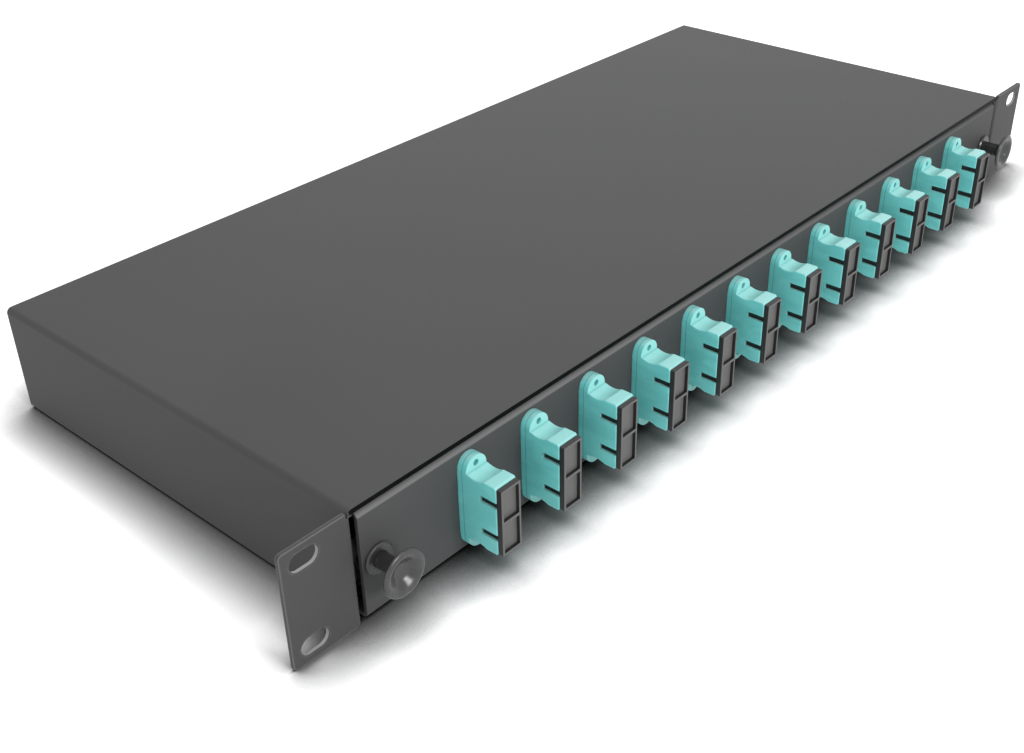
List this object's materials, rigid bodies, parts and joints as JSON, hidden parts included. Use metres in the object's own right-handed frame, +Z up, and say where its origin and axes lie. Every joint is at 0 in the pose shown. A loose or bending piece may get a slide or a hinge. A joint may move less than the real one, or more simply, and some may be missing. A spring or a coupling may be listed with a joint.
{
  "type": "rack fibre patch panel",
  "caption": "Flat rack-mount fibre patch panel with a pull-out drawer, a row of upright duplex couplers with dust caps, push-pull plungers and slotted ears.",
  "frame": {"origin": "centre of the four rack slots, on the rear face of the mounting ears", "axes": "+X to the right seen from the front, +Y to the rear of the rack, +Z up"},
  "size_m": [0.4826, 0.2249, 0.044],
  "materials": {
    "powder_coat": "fine matt powder coat, dark grey",
    "zinc_steel": "zinc plated",
    "aqua_plastic": "moulded, satin",
    "cap_rubber": "soft matt",
    "black_nylon": "moulded, matt",
    "plunger_plastic": "moulded, semi gloss",
    "seal_rubber": "matt",
    "white_ceramic": "ground ceramic",
    "insert_plastic": "moulded, matt",
    "cassette_plastic": "moulded, matt",
    "comb_foam": "soft",
    "lid_plastic": "clear, slightly smoky",
    "nut_brass": "turned"
  },
  "bodies": {
    "housing": {"outer_shell": "powder_coat", "base_plate": "powder_coat", "base_screws": "zinc_steel", "latch_bracket_left": "zinc_steel", "latch_bracket_right": "zinc_steel", "guide_rail_left": "zinc_steel", "guide_rail_right": "zinc_steel", "gland_body_left": "black_nylon", "gland_body_right": "black_nylon", "gland_cap_left": "black_nylon", "gland_cap_right": "black_nylon", "gland_seal_left": "seal_rubber", "gland_seal_right": "seal_rubber", "gland_locknut_left": "black_nylon", "gland_locknut_right": "black_nylon", "blanking_plugs": "black_nylon"},
    "drawer": {"drawer_front": "powder_coat", "drawer_tray": "powder_coat", "tray_nuts": "zinc_steel", "slide_runner_left": "zinc_steel", "slide_runner_right": "zinc_steel", "runner_rivets": "zinc_steel", "coupler_clips": "zinc_steel", "alignment_sleeves": "white_ceramic", "latch_inserts": "insert_plastic", "splice_cassette": "cassette_plastic", "cassette_lid": "lid_plastic", "cassette_nut": "nut_brass", "splice_combs": "comb_foam", "fibre_guides": "black_nylon", "grommet_left": "plunger_plastic", "grommet_right": "plunger_plastic", "coupler_01": "aqua_plastic", "coupler_02": "aqua_plastic", "coupler_03": "aqua_plastic", "coupler_04": "aqua_plastic", "coupler_05": "aqua_plastic", "coupler_06": "aqua_plastic", "coupler_07": "aqua_plastic", "coupler_08": "aqua_plastic", "coupler_09": "aqua_plastic", "coupler_10": "aqua_plastic", "coupler_11": "aqua_plastic", "coupler_12": "aqua_plastic"},
    "plunger_left": {"plunger_left": "plunger_plastic"},
    "plunger_right": {"plunger_right": "plunger_plastic"},
    "cap_01": {"dust_cap_01": "cap_rubber"},
    "cap_02": {"dust_cap_02": "cap_rubber"},
    "cap_03": {"dust_cap_03": "cap_rubber"},
    "cap_04": {"dust_cap_04": "cap_rubber"},
    "cap_05": {"dust_cap_05": "cap_rubber"},
    "cap_06": {"dust_cap_06": "cap_rubber"},
    "cap_07": {"dust_cap_07": "cap_rubber"},
    "cap_08": {"dust_cap_08": "cap_rubber"},
    "cap_09": {"dust_cap_09": "cap_rubber"},
    "cap_10": {"dust_cap_10": "cap_rubber"},
    "cap_11": {"dust_cap_11": "cap_rubber"},
    "cap_12": {"dust_cap_12": "cap_rubber"}
  },
  "joints": [
    {"name": "drawer_slide", "type": "slide", "parent": "housing", "child": "drawer", "axis": [0, -1, 0], "range_m": [0, 0.12]},
    {"name": "plunger_left_push", "type": "slide", "parent": "drawer", "child": "plunger_left", "axis": [0, 1, 0], "range_m": [0, 0.0055]},
    {"name": "plunger_right_push", "type": "slide", "parent": "drawer", "child": "plunger_right", "axis": [0, 1, 0], "range_m": [0, 0.0055]},
    {"name": "cap_01_pull", "type": "slide", "parent": "drawer", "child": "cap_01", "axis": [0, -1, 0], "range_m": [0, 0.03]},
    {"name": "cap_02_pull", "type": "slide", "parent": "drawer", "child": "cap_02", "axis": [0, -1, 0], "range_m": [0, 0.03]},
    {"name": "cap_03_pull", "type": "slide", "parent": "drawer", "child": "cap_03", "axis": [0, -1, 0], "range_m": [0, 0.03]},
    {"name": "cap_04_pull", "type": "slide", "parent": "drawer", "child": "cap_04", "axis": [0, -1, 0], "range_m": [0, 0.03]},
    {"name": "cap_05_pull", "type": "slide", "parent": "drawer", "child": "cap_05", "axis": [0, -1, 0], "range_m": [0, 0.03]},
    {"name": "cap_06_pull", "type": "slide", "parent": "drawer", "child": "cap_06", "axis": [0, -1, 0], "range_m": [0, 0.03]},
    {"name": "cap_07_pull", "type": "slide", "parent": "drawer", "child": "cap_07", "axis": [0, -1, 0], "range_m": [0, 0.03]},
    {"name": "cap_08_pull", "type": "slide", "parent": "drawer", "child": "cap_08", "axis": [0, -1, 0], "range_m": [0, 0.03]},
    {"name": "cap_09_pull", "type": "slide", "parent": "drawer", "child": "cap_09", "axis": [0, -1, 0], "range_m": [0, 0.03]},
    {"name": "cap_10_pull", "type": "slide", "parent": "drawer", "child": "cap_10", "axis": [0, -1, 0], "range_m": [0, 0.03]},
    {"name": "cap_11_pull", "type": "slide", "parent": "drawer", "child": "cap_11", "axis": [0, -1, 0], "range_m": [0, 0.03]},
    {"name": "cap_12_pull", "type": "slide", "parent": "drawer", "child": "cap_12", "axis": [0, -1, 0], "range_m": [0, 0.03]}
  ]
}
